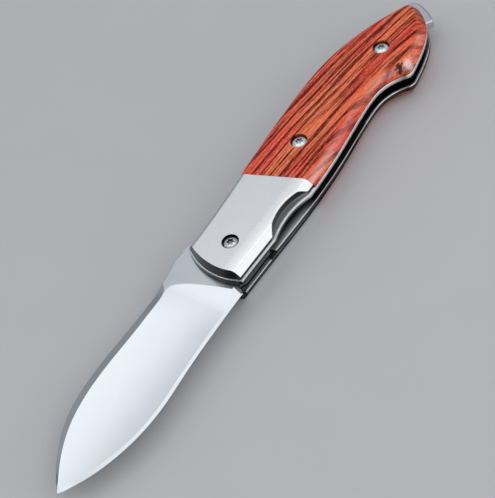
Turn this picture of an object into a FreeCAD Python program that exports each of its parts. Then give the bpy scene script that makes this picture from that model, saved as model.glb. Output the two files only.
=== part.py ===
"""Folding pocket knife with a liner lock, open, lying on its rear side.

The origin is where the pivot axis meets the plane that the knife lies on. +X runs to the butt of the
handle, +Y to the back of the blade, +Z up through the front face. All lengths are in millimetres.
"""
import FreeCAD
import Part
import math
import os

# Blade
blade_reach = 79.0            # pivot axis to the tip
blade_thickness = 2.4
back_rise = 12.0              # pivot axis to the back edge
edge_drop = 10.3              # pivot axis to the deepest point of the cutting edge
hump_rise = 13.25             # pivot axis to the top of the thumb hump before the handle
hump_reach = 8.2
shoulder_reach = 5.2          # small step in the back edge beside the handle
shoulder_step = 0.3
heel_reach = 9.4
heel_drop = 8.8
grind_edge = 0.56             # thickness left behind the cutting edge by the main grind
grind_top_rise = 10.1         # where the main grind runs out towards the back edge
plunge_reach = 9.5            # pivot axis to the plunge line at the heel
plunge_radius = 32.0          # the grinding wheel's rounded shoulder, which arches the plunge line
bevel_width = 0.8             # secondary bevel along the cutting edge
edge_land = 0.06              # flat left at the very edge
swage_width = 2.2             # bevel along the back edge
swage_thickness = 1.2         # thickness that the swage leaves at the back edge

# Tang
tang_back_rise = 10.4
tang_belly_drop = 7.2
tang_rear_reach = 7.0
tang_rear_rise = 3.0          # where the tang's rear starts to round towards the lock face
tang_bow_rise = 0.6
lock_face_reach = 6.0
lock_face_corner = 1.0

# Pivot
barrel_diameter = 4.8
pivot_web = 0.7               # bolster left between the barrel's end and the screw head
pivot_thread = 2.5
pivot_tip_gap = 0.8           # between the tips of the two pivot screws
washer_diameter = 9.4
washer_thickness = 0.28
running_gap = 0.02            # between the blade and each washer
turning_gap = 0.03            # between the barrel and the blade's bore

# Stop pin, on which the blade stops both open and folded
stop_pin_diameter = 2.5
stop_pin_distance = 10.6
stop_pin_angle = 47.0
fold_angle = 180.0
stop_gap = 0.03

# Handle
butt_reach = 90.7             # pivot axis to the butt
front_reach = 9.1             # pivot axis to the front end of the handle
spine_rise = 13.65            # pivot axis to the top of the handle
belly_drop = 8.65             # pivot axis to the belly of the handle
liner_thickness = 1.2
cover_thickness = 3.2         # bolsters and scales
corner_spare = 0.15           # what the corners are rounder in plan than border and ridge
facet_width = 1.9             # sloped border around each cover, in plan
rim_height = 0.3              # upright rim below the sloped border
ridge_radius = 1.8            # where the border meets the flat land
end_step = 0.4                # how far the bolsters' front end stands back from the liners
end_lean = 0.6                # how far it leans back over their thickness
bolster_step = 0.45           # how far the bolsters' belly stands back from the liners
seam_reach = 23.1             # bolster to scale seam, on the pivot's level
seam_slant = 17.0

# Thumb notch in the front bolster and liner
notch_reach = 14.8
notch_length = 16.5
bolster_notch_depth = 2.9
liner_notch_depth = 1.5
notch_corner = 1.0            # corners of the notch in plan
mouth_radius = 0.7            # rolled top edge of the notch in the bolster
mouth_turn = 65.0             # how far the roll turns over from upright

# Lock bar, sprung inwards from the rear liner
lock_root_reach = 52.0
lock_bar_top = 1.6            # slit above the lock bar, below the pivot's level
lock_slit = 0.6
lock_gap = 0.03
lock_spring = 1.0             # how far the free end stands in
liner_foot_reach = 3.6        # rear liner's edge in front of the lock bar
root_gap = 0.05
relief_length = 5.0
relief_depth = 0.5
ball_diameter = 1.2
ball_stand = 0.25
ball_setback = 1.5            # behind the lock face
ball_drop = 4.2

# Back spacer
spacer_front_reach = 12.5
spacer_depth = 2.2
tail_reach = 2.4              # how far the tail stands out behind the butt
tail_corner = 1.0             # corner of the tail's end in plan
tail_round = 0.5              # broken edges of the tail
spacer_pin_diameter = 1.4

# Screws
head_diameter = 4.3
head_height = 1.2
head_dome = 0.45
head_recess = 0.1             # top of each head below the surface
counterbore_gap = 0.15
scale_thread = 2.0
shank_gap = 0.1
socket_core_diameter = 1.55
socket_lobe_diameter = 0.55
socket_depth = 0.8
socket_lobes = 6
bolster_thread = 1.6
bolster_head = 3.0
bolster_grip = 1.6
fit_gap = 0.02                # pins and threads in their holes
overrun = 5.0                 # how far cutting tools pass through

# Outlines as shares of the sizes that they follow
back_edge_shares = ((0.165, 1.035), (0.255, 0.983), (0.455, 1.006), (0.630, 1.003), (0.755, 0.872),
                    (0.875, 0.525))
edge_shares = ((0.280, 0.868), (0.455, 0.927), (0.595, 1.000), (0.710, 0.950), (0.835, 0.735),
               (0.935, 0.415))
tip_share = -0.1
swage_shares = ((0.900, 0.05, 0.02), (0.870, 0.70, 0.60), (0.835, 0.95, 0.95), (0.780, 1.0, 1.0),
                (0.600, 1.0, 1.0), (0.420, 1.0, 1.0), (0.280, 0.85, 1.0), (0.130, 0.50, 1.1),
                (0.020, 0.15, 1.3))
bevel_shares = (0.0, 0.20, 0.40, 0.60, 0.75, 0.88, 0.98)
slope_draw_share = 5.0        # slopes are drawn out this many times their own width
spine_shares = ((0.198, 0.878), (0.375, 0.962), (0.550, 1.000), (0.685, 0.960), (0.815, 0.757),
                (0.927, 0.440))
butt_corner_share = 0.15
belly_shares = ((0.088, 0.985), (0.276, 1.000), (0.441, 0.887), (0.605, 0.697), (0.672, 0.725),
                (0.722, 0.950))
beak_reach_share = 0.758
beak_drop_share = 1.285
butt_shares = ((0.860, 1.058), (0.939, 0.665), (0.975, 0.270))
front_top_shares = (0.545, 0.800)
front_low_shares = (0.857, 0.950)
front_bow_share = 0.115
end_shares = ((-0.2, 1.0), (0.2, 1.0), (0.5, 1.0), (0.8, 0.7), (1.2, 0.0))
tail_shares = ((0.880, 0.585, 0.0, 0.0), (0.968, 0.300, 0.45, 0.85), (1.000, 0.130, 0.95, 0.30),
               (0.990, 0.0, 0.98, -0.20), (0.974, -0.170, 0.85, -0.52), (0.960, -0.290, 0.75, -0.66))
tail_inner_shares = ((0.940, -0.230), (0.900, 0.300))
spacer_inner_shares = ((0.925, -0.250), (0.905, 0.130), (0.850, 0.440))
spacer_pin_shares = ((0.375, 0.962), (0.685, 0.960))
butt_pin_shares = (0.935, 0.120)
scale_screw_shares = ((0.391, 0.168), (0.794, -0.015))
bolster_screw_shares = ((0.650, 0.550), (0.650, 0.073))
head_bow_shares = (0.707, 0.5)

# Levels through the thickness
slot_width = blade_thickness + 2 * (washer_thickness + running_gap)
rear_liner_level = cover_thickness
slot_level = rear_liner_level + liner_thickness
middle_level = slot_level + slot_width / 2
front_liner_level = slot_level + slot_width
front_cover_level = front_liner_level + liner_thickness
top_level = front_cover_level + cover_thickness
blade_level = middle_level - blade_thickness / 2

facet_height = cover_thickness - rim_height
ridge_reach = ridge_radius * math.tan(math.atan2(facet_height, facet_width) / 2)
barrel_seat = cover_thickness - head_height - head_recess - pivot_web
lock_face_top = lock_bar_top - lock_slit
ball_reach = lock_face_reach + ball_setback
stop_pin_x = stop_pin_distance * math.cos(math.radians(stop_pin_angle))
stop_pin_y = stop_pin_distance * math.sin(math.radians(stop_pin_angle))
pivot_axis = FreeCAD.Vector(0, 0, 1)


def point(x, y, z=0.0):
    return FreeCAD.Vector(x, y, z)


def line(start, end):
    return Part.LineSegment(start, end).toShape()


def arc(start, middle, end):
    return Part.Arc(start, middle, end).toShape()


def spline(points):
    curve = Part.BSplineCurve()
    curve.interpolate(points)
    return curve.toShape()


def slab(edges, level, thickness):
    """Closed outline of edges, raised to a level and given a thickness."""
    face = Part.Face(Part.Wire(edges))
    face.translate(point(0, 0, level))
    return face.extrude(point(0, 0, thickness))


def block(x_low, x_high, y_low, y_high, z_low, z_high):
    corner = point(x_low, y_low, z_low)
    return Part.makeBox(x_high - x_low, y_high - y_low, z_high - z_low, corner)


def rod(diameter, x, y, low, high):
    return Part.makeCylinder(diameter / 2, high - low, point(x, y, low))


def mirrored(shape):
    """The rear counterpart of a front piece."""
    return shape.mirror(point(0, 0, middle_level), pivot_axis)


# Handle outline

def spine_points():
    return [point(x * butt_reach, y * spine_rise) for x, y in spine_shares]


def handle_outline():
    """Front end, belly with finger groove and beak, butt and spine, in order."""
    top = point(-front_top_shares[0] * front_reach, front_top_shares[1] * spine_rise)
    low = point(-front_low_shares[0] * front_reach, -front_low_shares[1] * belly_drop)
    bow = point(-front_reach, -front_bow_share * belly_drop)
    beak = point(beak_reach_share * butt_reach, -beak_drop_share * belly_drop)
    corner = point(butt_reach, butt_corner_share * spine_rise)
    belly = [point(x * butt_reach, -y * belly_drop) for x, y in belly_shares]
    butt = [point(x * butt_reach, -y * belly_drop) for x, y in butt_shares]
    return [
        arc(top, bow, low),
        spline([low] + belly + [beak]),
        spline([beak] + butt + [corner]),
        spline([corner] + spine_points()[::-1] + [top]),
    ]


def uprights(plate, front, rear):
    """Upright edges of a plate between two places along the handle."""
    edges = []
    for edge in plate.Edges:
        box = edge.BoundBox
        if box.ZLength > max(box.XLength, box.YLength) and front < box.Center.x < rear:
            edges.append(edge)
    return edges


def handle_slab(level, thickness, *notches):
    """A plate of the handle's outline, rounded in plan at the beak, the butt corner and any notch."""
    plate = slab(handle_outline(), level, thickness).cut(list(notches))
    notch_rear = notch_reach + notch_length
    ends = uprights(plate, notch_rear, 2 * butt_reach)
    plate = plate.makeFillet(facet_width + ridge_reach + corner_spare, ends)
    corners = uprights(plate, 0, notch_rear)
    return plate.makeFillet(notch_corner, corners) if corners else plate


# Blade

def back_edge_points():
    return [point(-x * blade_reach, y * back_rise) for x, y in back_edge_shares]


def edge_points():
    return [point(-x * blade_reach, -y * edge_drop) for x, y in edge_shares]


def blade_outline():
    """Back edge, hump, tang, lock face, heel and cutting edge, in order."""
    tip = point(-blade_reach, tip_share * edge_drop)
    hump = point(-hump_reach, hump_rise)
    heel = point(-heel_reach, -heel_drop)
    dip = point(-shoulder_reach - shoulder_step, hump_rise - shoulder_step)
    tooth = point(-shoulder_reach, hump_rise)
    tooth_end = point(-shoulder_reach / 2, hump_rise - shoulder_step)
    tang_top = point(0, tang_back_rise)
    horn = point(tang_rear_reach, tang_back_rise)
    rear = point(tang_rear_reach, tang_rear_rise)
    rear_bow = point(tang_rear_reach, tang_bow_rise)
    lock_top = point(lock_face_reach, -lock_face_top)
    lock_low = point(lock_face_reach, lock_face_corner - tang_belly_drop)
    belly_rear = point(lock_face_reach - lock_face_corner, -tang_belly_drop)
    belly_front = point(-heel_reach + lock_face_corner, -tang_belly_drop)
    return [
        spline([tip] + back_edge_points()[::-1] + [hump]),
        line(hump, dip),
        line(dip, tooth),
        line(tooth, tooth_end),
        line(tooth_end, tang_top),
        line(tang_top, horn),
        line(horn, rear),
        arc(rear, rear_bow, lock_top),
        line(lock_top, lock_low),
        line(lock_low, belly_rear),
        line(belly_rear, belly_front),
        line(belly_front, heel),
        spline([heel] + edge_points() + [tip]),
    ]


def stop_track():
    """The path that the stop pin takes through the blade as it folds."""
    reach = stop_pin_diameter / 2 + stop_gap
    height = blade_thickness + 2 * overrun
    base = point(0, 0, blade_level - overrun)
    start = stop_pin_angle - fold_angle
    ring = Part.makeCylinder(stop_pin_distance + reach, height, base, pivot_axis, fold_angle)
    ring = ring.cut(Part.makeCylinder(stop_pin_distance - reach, height, base))
    ring.rotate(point(0, 0), pivot_axis, start)
    ends = []
    for angle in (start, stop_pin_angle):
        end = Part.makeCylinder(reach, height, base + point(stop_pin_distance, 0))
        end.rotate(point(0, 0), pivot_axis, angle)
        ends.append(end)
    return ring.multiFuse(ends)


def grind_height(y):
    """Half the blade's thickness on the main grind, at a distance from the pivot's level."""
    run = grind_top_rise + edge_drop
    rise = (blade_thickness - grind_edge) / 2
    return grind_edge / 2 + (y + edge_drop) * rise / run


def main_grind():
    """The wheel's cut on the front side: a slope with a rounded shoulder, which arches the plunge."""
    depth = blade_thickness / 2 - grind_height(-heel_drop)
    foot = -plunge_reach - math.sqrt(plunge_radius ** 2 - (plunge_radius - depth) ** 2)
    low = -edge_drop - overrun
    far = -blade_reach - overrun
    base = grind_height(low)

    def on_wheel(height):
        run = math.sqrt(plunge_radius ** 2 - (plunge_radius - height) ** 2)
        return point(foot + run, low, base + height)

    start = point(far, low, base)
    turn = point(foot, low, base)
    side = on_wheel(overrun)
    over = point(far, low, base + overrun)
    edges = [
        line(start, turn),
        arc(turn, on_wheel(blade_thickness / 2), side),
        line(side, over),
        line(over, start),
    ]
    high = hump_rise + overrun
    run = point(0, high - low, grind_height(high) - base)
    return Part.Face(Part.Wire(edges)).extrude(run)


def stations(edge, shares):
    """Points on a plan curve at shares of its run, each with the unit normal to its left."""
    places = []
    for share in shares:
        spot = edge.FirstParameter + share * (edge.LastParameter - edge.FirstParameter)
        tangent = edge.tangentAt(spot)
        places.append((edge.valueAt(spot), point(-tangent.y, tangent.x)))
    return places


def sloped_cut(outer, inner, run):
    """The ruled slope from one row of points to another, drawn out past its ends and swept along a run."""
    rows = []
    for draw in (-1, slope_draw_share):
        row = [a + (b - a) * draw for a, b in zip(outer, inner)]
        rows.append(spline(row + [row[-1] * 2 - row[-2]]))
    return Part.makeRuledSurface(*rows).extrude(run)


def swage():
    """Bevel along the back edge, narrowing to the tip."""
    outer = []
    inner = []
    places = stations(blade_outline()[0], [share[0] for share in swage_shares])
    for (place, normal), (_, width, depth) in zip(places, swage_shares):
        ridge = place - normal * (width * swage_width)
        drop = depth * (blade_thickness - swage_thickness) / 2
        outer.append(place + point(0, 0, blade_thickness / 2 - drop))
        inner.append(ridge + point(0, 0, grind_height(ridge.y)))
    return sloped_cut(outer, inner, point(0, 0, overrun))


def edge_bevel():
    """Secondary bevel of even width along the cutting edge."""
    outer = []
    inner = []
    for place, normal in stations(blade_outline()[-1], bevel_shares):
        root = place - normal * bevel_width
        outer.append(place + point(0, 0, edge_land / 2))
        inner.append(root + point(0, 0, grind_height(root.y)))
    return sloped_cut(outer, inner, point(0, 0, overrun))


def blade():
    body = slab(blade_outline(), blade_level, blade_thickness).cut(stop_track())
    for cutter in (main_grind(), swage(), edge_bevel()):
        cutter.translate(point(0, 0, middle_level))
        body = body.cut(cutter).cut(mirrored(cutter))
    body = body.cut(rod(barrel_diameter + 2 * turning_gap, 0, 0, -overrun, top_level + overrun))
    return body.cut(detent_dimple())


def detent_dimple():
    """Where the detent ball drops into the rear face of the tang when the blade is folded."""
    reach = ball_diameter / 2 + stop_gap
    dimple = Part.makeSphere(reach, point(ball_reach, -ball_drop, ball_level()))
    dimple.rotate(point(0, 0), pivot_axis, -fold_angle)
    return dimple


# Liners and lock

def liner_holes(level):
    """Holes that both liners share: pivot barrel, stop pin, scale screws, spacer pins."""
    low = level - overrun
    high = level + liner_thickness + overrun
    holes = [
        rod(barrel_diameter + 2 * fit_gap, 0, 0, low, high),
        rod(stop_pin_diameter + 2 * fit_gap, stop_pin_x, stop_pin_y, low, high),
    ]
    for x, y in scale_screw_places():
        holes.append(rod(scale_thread + 2 * fit_gap, x, y, low, high))
    for x, y in spacer_pin_places():
        holes.append(rod(spacer_pin_diameter + 2 * fit_gap, x, y, low, high))
    return holes


def notch_circle(depth):
    """Radius and centre of the round cut that reaches a depth into the belly."""
    half = notch_length / 2
    radius = (half ** 2 + depth ** 2) / (2 * depth)
    return radius, point(notch_reach, depth - belly_drop - radius)


def thumb_notch(depth):
    radius, centre = notch_circle(depth)
    return rod(2 * radius, centre.x, centre.y, 0, top_level)


def notch_mouth(depth):
    """Cut that rolls the notch's top edge over."""
    radius, centre = notch_circle(depth)
    turn = math.radians(mouth_turn)
    foot = top_level - mouth_radius * math.sin(turn)

    def on_roll(angle):
        return point(radius + mouth_radius * (1 - math.cos(angle)), 0, foot + mouth_radius * math.sin(angle))

    over = on_roll(turn) + point(math.sin(turn), 0, math.cos(turn)) * overrun
    inner_top = point(radius - overrun, 0, over.z)
    inner_foot = point(radius - overrun, 0, foot)
    edges = [
        arc(on_roll(0), on_roll(turn / 2), on_roll(turn)),
        line(on_roll(turn), over),
        line(over, inner_top),
        line(inner_top, inner_foot),
        line(inner_foot, on_roll(0)),
    ]
    mouth = Part.Face(Part.Wire(edges)).revolve(point(0, 0), pivot_axis)
    mouth.translate(centre)
    return mouth


def front_liner():
    plate = handle_slab(front_liner_level, liner_thickness, thumb_notch(liner_notch_depth))
    return plate.cut(liner_holes(front_liner_level) + countersunk(fit_gap))


def lock_bar_block(front, rear, top):
    return block(front, rear, -butt_reach, top, rear_liner_level - overrun, middle_level)


def rear_liner():
    plate = handle_slab(rear_liner_level, liner_thickness)
    top = lock_slit - lock_bar_top
    plate = plate.cut(lock_bar_block(liner_foot_reach, lock_root_reach, top))
    end = rod(2 * lock_slit, lock_root_reach, top - lock_slit, 0, middle_level)
    screws = [mirrored(shape) for shape in countersunk(fit_gap)]
    return plate.cut([end] + liner_holes(rear_liner_level) + screws)


def lock_hinge():
    """Where the lock bar bends: on its root, half-way through the liner."""
    return point(lock_root_reach, 0, rear_liner_level + liner_thickness / 2)


def lock_angle():
    return math.degrees(math.atan2(lock_spring, lock_root_reach - lock_face_reach))


def sprung(shape):
    """A piece of the lock bar, turned inwards from flat to where it stands with the blade open."""
    shape.rotate(lock_hinge(), point(0, 1), lock_angle())
    return shape


def lock_bar():
    plate = handle_slab(rear_liner_level, liner_thickness)
    front = lock_face_reach + lock_gap
    bar = plate.common(lock_bar_block(front, lock_root_reach - root_gap, -lock_bar_top))
    relief_front = lock_root_reach - 2 * relief_length
    relief_top = rear_liner_level + relief_depth
    relief = block(relief_front, relief_front + relief_length, -butt_reach, 0, 0, relief_top)
    return sprung(bar.cut(relief).cut(ball_seat(fit_gap)))


def ball_level():
    """Height of the detent ball's centre with the lock bar flat in its liner."""
    return slot_level + ball_stand - ball_diameter / 2


def ball_seat(gap):
    return Part.makeSphere(ball_diameter / 2 + gap, point(ball_reach, -ball_drop, ball_level()))


def detent_ball():
    return sprung(ball_seat(0))


# Bolsters and scales

def cover_blank():
    """Front bolster and scale in one: a plate with a sloped border, a soft ridge and a leaning end."""
    blank = handle_slab(front_cover_level, cover_thickness)
    blank = blank.makeChamfer(facet_height, facet_width, border_edges(blank))
    return blank.makeFillet(ridge_radius, border_edges(blank)).cut(end_slope())


def border_edges(blank):
    """Edges round the top face of a cover, but for its front end."""
    land = max(blank.Faces, key=lambda face: face.CenterOfMass.z)
    return [edge for edge in land.Edges if edge.BoundBox.XMax > 0]


def end_slope():
    """Cut that sets the front end back and leans it, less and less towards the belly."""
    outer = []
    inner = []
    places = stations(handle_outline()[0], [share[0] for share in end_shares])
    for (place, normal), (_, lean) in zip(places, end_shares):
        foot = place + normal * end_step
        outer.append(foot + point(0, 0, front_cover_level))
        inner.append(foot + normal * (lean * end_lean) + point(0, 0, top_level))
    return sloped_cut(outer, inner, point(-overrun, 0))


def seam_side(rear):
    """Everything on one side of the slanted seam between bolster and scale."""
    front, back = (0, 2 * butt_reach) if rear else (-2 * butt_reach, 0)
    half = block(front, back, -butt_reach, butt_reach, 0, top_level + overrun)
    half.rotate(point(0, 0), pivot_axis, seam_slant)
    half.translate(point(seam_reach, 0))
    return half


def screw_seat(x, y, shank):
    """Counterbore and shank hole for a button-head screw in the front covers."""
    floor = top_level - head_height - head_recess
    bore = rod(head_diameter + 2 * counterbore_gap, x, y, floor, top_level + overrun)
    return bore.fuse(rod(shank + 2 * shank_gap, x, y, 0, floor + overrun))


def bolster(*notches):
    """Front bolster, its belly a step back from the liner."""
    wall = handle_slab(front_cover_level, cover_thickness, *notches)
    wall.translate(point(0, bolster_step))
    body = cover_blank().common(seam_side(False)).common(wall)
    seat = rod(barrel_diameter + 2 * fit_gap, 0, 0, 0, front_cover_level + barrel_seat)
    return body.cut([screw_seat(0, 0, pivot_thread), seat] + countersunk(fit_gap))


def front_bolster():
    depth = bolster_notch_depth - bolster_step
    mouth = notch_mouth(depth)
    mouth.translate(point(0, bolster_step))
    return bolster(thumb_notch(depth)).cut(mouth)


def rear_bolster():
    return mirrored(bolster())


def front_scale():
    body = cover_blank().common(seam_side(True))
    return body.cut([screw_seat(x, y, scale_thread) for x, y in scale_screw_places()])


def rear_scale():
    return mirrored(front_scale())


# Back spacer

def spacer_pin_places():
    """Along the spine on the spacer's middle line, and one in its butt block."""
    places = [(butt_pin_shares[0] * butt_reach, butt_pin_shares[1] * spine_rise)]
    for x, y in spacer_pin_shares:
        places.append((x * butt_reach, y * spine_rise - spacer_depth / 2))
    return places


def spacer_void():
    """Everything below the spacer's inner edge, which leaves room for the folded blade."""
    inner = [point(x * butt_reach, y * spine_rise) for x, y in spacer_inner_shares]
    band = [spot - point(0, spacer_depth) for spot in spine_points()[-2::-1]]
    front = point(-butt_reach, band[-1].y)
    floor = point(-butt_reach, -butt_reach)
    heel = point(inner[0].x, -butt_reach)
    edges = [
        line(heel, inner[0]),
        spline(inner + band),
        line(band[-1], front),
        line(front, floor),
        line(floor, heel),
    ]
    return slab(edges, 0, top_level)


def tail():
    """The spacer's end that wraps round the butt, with its edges broken."""
    outer = []
    for x, y, out_x, out_y in tail_shares:
        outer.append(point(x * butt_reach + out_x * tail_reach, y * spine_rise + out_y * tail_reach))
    inner = [point(x * butt_reach, y * spine_rise) for x, y in tail_inner_shares]
    edges = [spline(outer), line(outer[-1], inner[0]), line(inner[0], inner[1]), line(inner[1], outer[0])]
    body = slab(edges, slot_level, slot_width)
    body = body.makeFillet(tail_corner, uprights(body, inner[0].x, 2 * butt_reach))
    rims = []
    for edge in body.Edges:
        if edge.BoundBox.ZLength < tail_round and edge.CenterOfMass.x > inner[0].x:
            rims.append(edge)
    return body.makeFillet(tail_round, rims)


def back_spacer():
    low = spacer_inner_shares[0][1] * spine_rise
    ahead = block(-butt_reach, spacer_front_reach, -butt_reach, butt_reach, 0, top_level)
    below = block(-butt_reach, 2 * butt_reach, -butt_reach, low, 0, top_level)
    body = handle_slab(slot_level, slot_width).cut([spacer_void(), ahead, below])
    body = body.fuse(tail()).removeSplitter()
    pins = [rod(spacer_pin_diameter + 2 * fit_gap, x, y, 0, top_level) for x, y in spacer_pin_places()]
    return body.cut(pins)


def spacer_pins():
    low = rear_liner_level
    return group(rod(spacer_pin_diameter, x, y, low, front_cover_level) for x, y in spacer_pin_places())


# Pivot, washers, stop pin and screws

def group(shapes):
    return Part.makeCompound(list(shapes))


def pivot_barrel():
    low = rear_liner_level - barrel_seat
    high = front_cover_level + barrel_seat
    return rod(barrel_diameter, 0, 0, low, high).cut(rod(pivot_thread + 2 * fit_gap, 0, 0, low, high))


def washer(level):
    ring = rod(washer_diameter, 0, 0, level, level + washer_thickness)
    return ring.cut(rod(barrel_diameter + 2 * turning_gap, 0, 0, 0, top_level))


def front_washer():
    return washer(front_liner_level - washer_thickness)


def rear_washer():
    return washer(slot_level)


def stop_pin():
    return rod(stop_pin_diameter, stop_pin_x, stop_pin_y, rear_liner_level, front_cover_level)


def socket(x, y, top):
    """Six-lobed driver socket."""
    core = rod(socket_core_diameter, x, y, top - socket_depth, top + overrun)
    lobes = []
    for turn in range(socket_lobes):
        angle = 2 * math.pi * turn / socket_lobes
        lobe_x = x + math.cos(angle) * socket_core_diameter / 2
        lobe_y = y + math.sin(angle) * socket_core_diameter / 2
        lobes.append(rod(socket_lobe_diameter, lobe_x, lobe_y, top - socket_depth, top + overrun))
    return core.multiFuse(lobes)


def button_screw(x, y, shank, tip_level):
    """Domed head in its counterbore in the front cover, shank down to tip_level."""
    top = top_level - head_recess
    seat = top - head_height
    rim = top - head_dome
    radius = head_diameter / 2
    bow = point(head_bow_shares[0] * radius, 0, top - head_bow_shares[1] * head_dome)
    profile = [
        line(point(0, 0, tip_level), point(shank / 2, 0, tip_level)),
        line(point(shank / 2, 0, tip_level), point(shank / 2, 0, seat)),
        line(point(shank / 2, 0, seat), point(radius, 0, seat)),
        line(point(radius, 0, seat), point(radius, 0, rim)),
        arc(point(radius, 0, rim), bow, point(0, 0, top)),
        line(point(0, 0, top), point(0, 0, tip_level)),
    ]
    screw = Part.Face(Part.Wire(profile)).revolve(point(0, 0), pivot_axis)
    screw.translate(point(x, y))
    return screw.cut(socket(x, y, top))


def front_pivot_screw():
    return button_screw(0, 0, pivot_thread, middle_level + pivot_tip_gap / 2)


def rear_pivot_screw():
    return mirrored(front_pivot_screw())


def scale_screw_places():
    return [(x * butt_reach, y * spine_rise) for x, y in scale_screw_shares]


def front_scale_screws():
    return group(button_screw(x, y, scale_thread, front_liner_level) for x, y in scale_screw_places())


def rear_scale_screws():
    return mirrored(front_scale_screws())


def countersunk(gap):
    """Bolster screws, their heads flush inside the front liner, or their holes with a gap."""
    screws = []
    for x, y in bolster_screw_shares:
        place = point(x * seam_reach, y * spine_rise, front_liner_level)
        head = bolster_head / 2 + gap
        shank = bolster_thread / 2 + gap
        cone = Part.makeCone(head, shank, head - shank, place)
        length = liner_thickness + bolster_grip + gap
        screws.append(cone.fuse(Part.makeCylinder(shank, length, place)))
    return screws


def front_bolster_screws():
    return group(countersunk(0))


def rear_bolster_screws():
    return mirrored(front_bolster_screws())


makers = [
    blade, front_liner, rear_liner, lock_bar, detent_ball, front_bolster, rear_bolster, front_scale,
    rear_scale, back_spacer, spacer_pins, pivot_barrel, front_washer, rear_washer, stop_pin,
    front_pivot_screw, rear_pivot_screw, front_scale_screws, rear_scale_screws, front_bolster_screws,
    rear_bolster_screws,
]

if __name__ == "__main__":
    os.makedirs("parts", exist_ok=True)
    for maker in makers:
        shape = maker()
        print(maker.__name__, shape.isValid(), len(shape.Solids), round(shape.Volume, 2))
        shape.exportStep("parts/" + maker.__name__ + ".step")
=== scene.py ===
"""Looks of a folding pocket knife: ground blade, satin bolsters, rosewood scales, plain studio."""
import logging
import math
from dataclasses import dataclass
from enum import Enum
from typing import Dict, Optional, Sequence, Tuple, Union

import bmesh
import bpy
from mathutils import Matrix, Vector


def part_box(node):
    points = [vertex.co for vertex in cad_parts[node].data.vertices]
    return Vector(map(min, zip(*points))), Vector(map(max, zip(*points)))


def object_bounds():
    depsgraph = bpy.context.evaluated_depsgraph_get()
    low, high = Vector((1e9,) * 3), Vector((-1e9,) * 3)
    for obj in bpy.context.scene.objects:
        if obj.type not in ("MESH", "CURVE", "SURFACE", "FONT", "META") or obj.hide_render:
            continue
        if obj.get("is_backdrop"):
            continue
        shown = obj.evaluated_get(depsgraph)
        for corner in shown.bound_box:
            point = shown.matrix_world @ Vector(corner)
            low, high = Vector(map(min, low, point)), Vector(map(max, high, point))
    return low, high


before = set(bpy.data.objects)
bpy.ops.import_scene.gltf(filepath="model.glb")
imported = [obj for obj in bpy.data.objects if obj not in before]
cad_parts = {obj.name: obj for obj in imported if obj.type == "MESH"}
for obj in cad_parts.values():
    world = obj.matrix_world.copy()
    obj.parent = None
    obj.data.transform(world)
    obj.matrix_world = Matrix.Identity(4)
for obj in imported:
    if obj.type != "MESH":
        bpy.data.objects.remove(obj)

Colour = Tuple[float, float, float]
Triple = Tuple[float, float, float]
Corners = Tuple[Vector, Vector]
Stops = Sequence[Tuple[float, Colour]]
# Where a mask is 0 and where it is 1: in millimetres, as a part of the normal or as a noise.
Limits = Tuple[float, float]
# What a value from 0 to 1 stands for at its two ends.
Span = Tuple[float, float]

MILLIMETRE = 0.001
EDGE_SAMPLES = 4
MIX_SHARE, MIX_FIRST, MIX_SECOND, MIX_RESULT = 0, 6, 7, 2
log = logging.getLogger("pocket_knife")


class Value:
    """A shader socket that takes part in Python expressions."""

    def __init__(self, shader: "Shader", socket: bpy.types.NodeSocket) -> None:
        """Keeps the socket and the shader that it belongs to."""
        self.shader = shader
        self.socket = socket

    def _math(self, operation: str, first: "Operand", second: "Operand" = 0.0) -> "Value":
        """Adds one Math node.

        Args:
            operation: The node's operation.
            first: Its first operand.
            second: Its second operand, for the operations that have one.

        Returns:
            The node's result.
        """
        return self.shader.node("ShaderNodeMath", {"operation": operation}, {0: first, 1: second})

    def __add__(self, other: "Operand") -> "Value":
        """Sum."""
        return self._math("ADD", self, other)

    def __radd__(self, other: "Operand") -> "Value":
        """Sum, with this value second."""
        return self._math("ADD", other, self)

    def __sub__(self, other: "Operand") -> "Value":
        """Difference."""
        return self._math("SUBTRACT", self, other)

    def __rsub__(self, other: "Operand") -> "Value":
        """Difference, with this value second."""
        return self._math("SUBTRACT", other, self)

    def __mul__(self, other: "Operand") -> "Value":
        """Product."""
        return self._math("MULTIPLY", self, other)

    def __rmul__(self, other: "Operand") -> "Value":
        """Product, with this value second."""
        return self._math("MULTIPLY", other, self)

    def __truediv__(self, other: "Operand") -> "Value":
        """Quotient."""
        return self._math("DIVIDE", self, other)

    def __rtruediv__(self, other: "Operand") -> "Value":
        """Quotient, with this value second."""
        return self._math("DIVIDE", other, self)

    def size(self) -> "Value":
        """The value without its sign."""
        return self._math("ABSOLUTE", self)

    def wave(self) -> "Value":
        """The sine of the value, in radians."""
        return self._math("SINE", self)

    def square(self) -> "Value":
        """The value times itself."""
        return self * self

    def root(self) -> "Value":
        """The square root of the value."""
        return self._math("SQRT", self)

    def swing(self, width: "Operand") -> "Value":
        """A value from 0 to 1 made to swing about 0, over a width."""
        return (self - 0.5) * width

    def blend(self, start: "Operand", end: "Operand") -> "Value":
        """A number that runs from a start, where this value is 0, to an end, where it is 1."""
        return start + self * (end - start)

    def rise(self, low: float, high: float) -> "Value":
        """A smooth step from 0 at one limit to 1 at the other.

        Args:
            low: Where the step is 0. It may be the higher number.
            high: Where the step is 1.

        Returns:
            The step, from 0 to 1.
        """
        limits = {"Value": self, "From Min": low, "From Max": high}
        return self.shader.node("ShaderNodeMapRange", {"interpolation_type": "SMOOTHSTEP"}, limits)

    def share(self, low: float, high: float) -> "Value":
        """A straight climb from 0 at one limit to 1 at the other.

        Args:
            low: Where the climb starts. It may be the higher number.
            high: Where it ends.

        Returns:
            The share, from 0 to 1.
        """
        limits = {"Value": self, "From Min": low, "From Max": high}
        return self.shader.node("ShaderNodeMapRange", {"clamp": True}, limits)


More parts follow.
